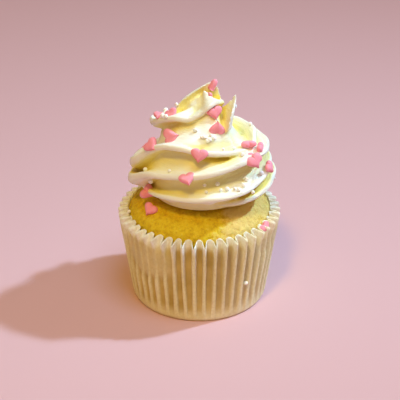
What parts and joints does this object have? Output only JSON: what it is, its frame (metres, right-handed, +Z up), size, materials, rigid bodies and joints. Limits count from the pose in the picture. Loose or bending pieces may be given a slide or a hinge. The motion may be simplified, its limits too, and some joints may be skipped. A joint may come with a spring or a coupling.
{
  "type": "cupcake",
  "caption": "Cupcake in a pleated paper case: domed golden sponge rising over the rim, under a tall piped swirl of ridged icing drawn up to a point.",
  "frame": {"origin": "middle of the flat base of the paper case, on the surface it stands on", "axes": "+Z up through the swirl to its tip; -Y towards the viewer; +X to the viewer's right, the side of the flap beside the tip"},
  "size_m": [0.0604, 0.0604, 0.0842],
  "materials": {
    "paper_case": "matt greaseproof paper, browned in the folds",
    "sponge": "golden open crumb, dry",
    "icing": "soft satin buttercream"
  },
  "bodies": {
    "root": {"paper_case": "paper_case", "sponge": "sponge", "icing": "icing"}
  },
  "joints": []
}
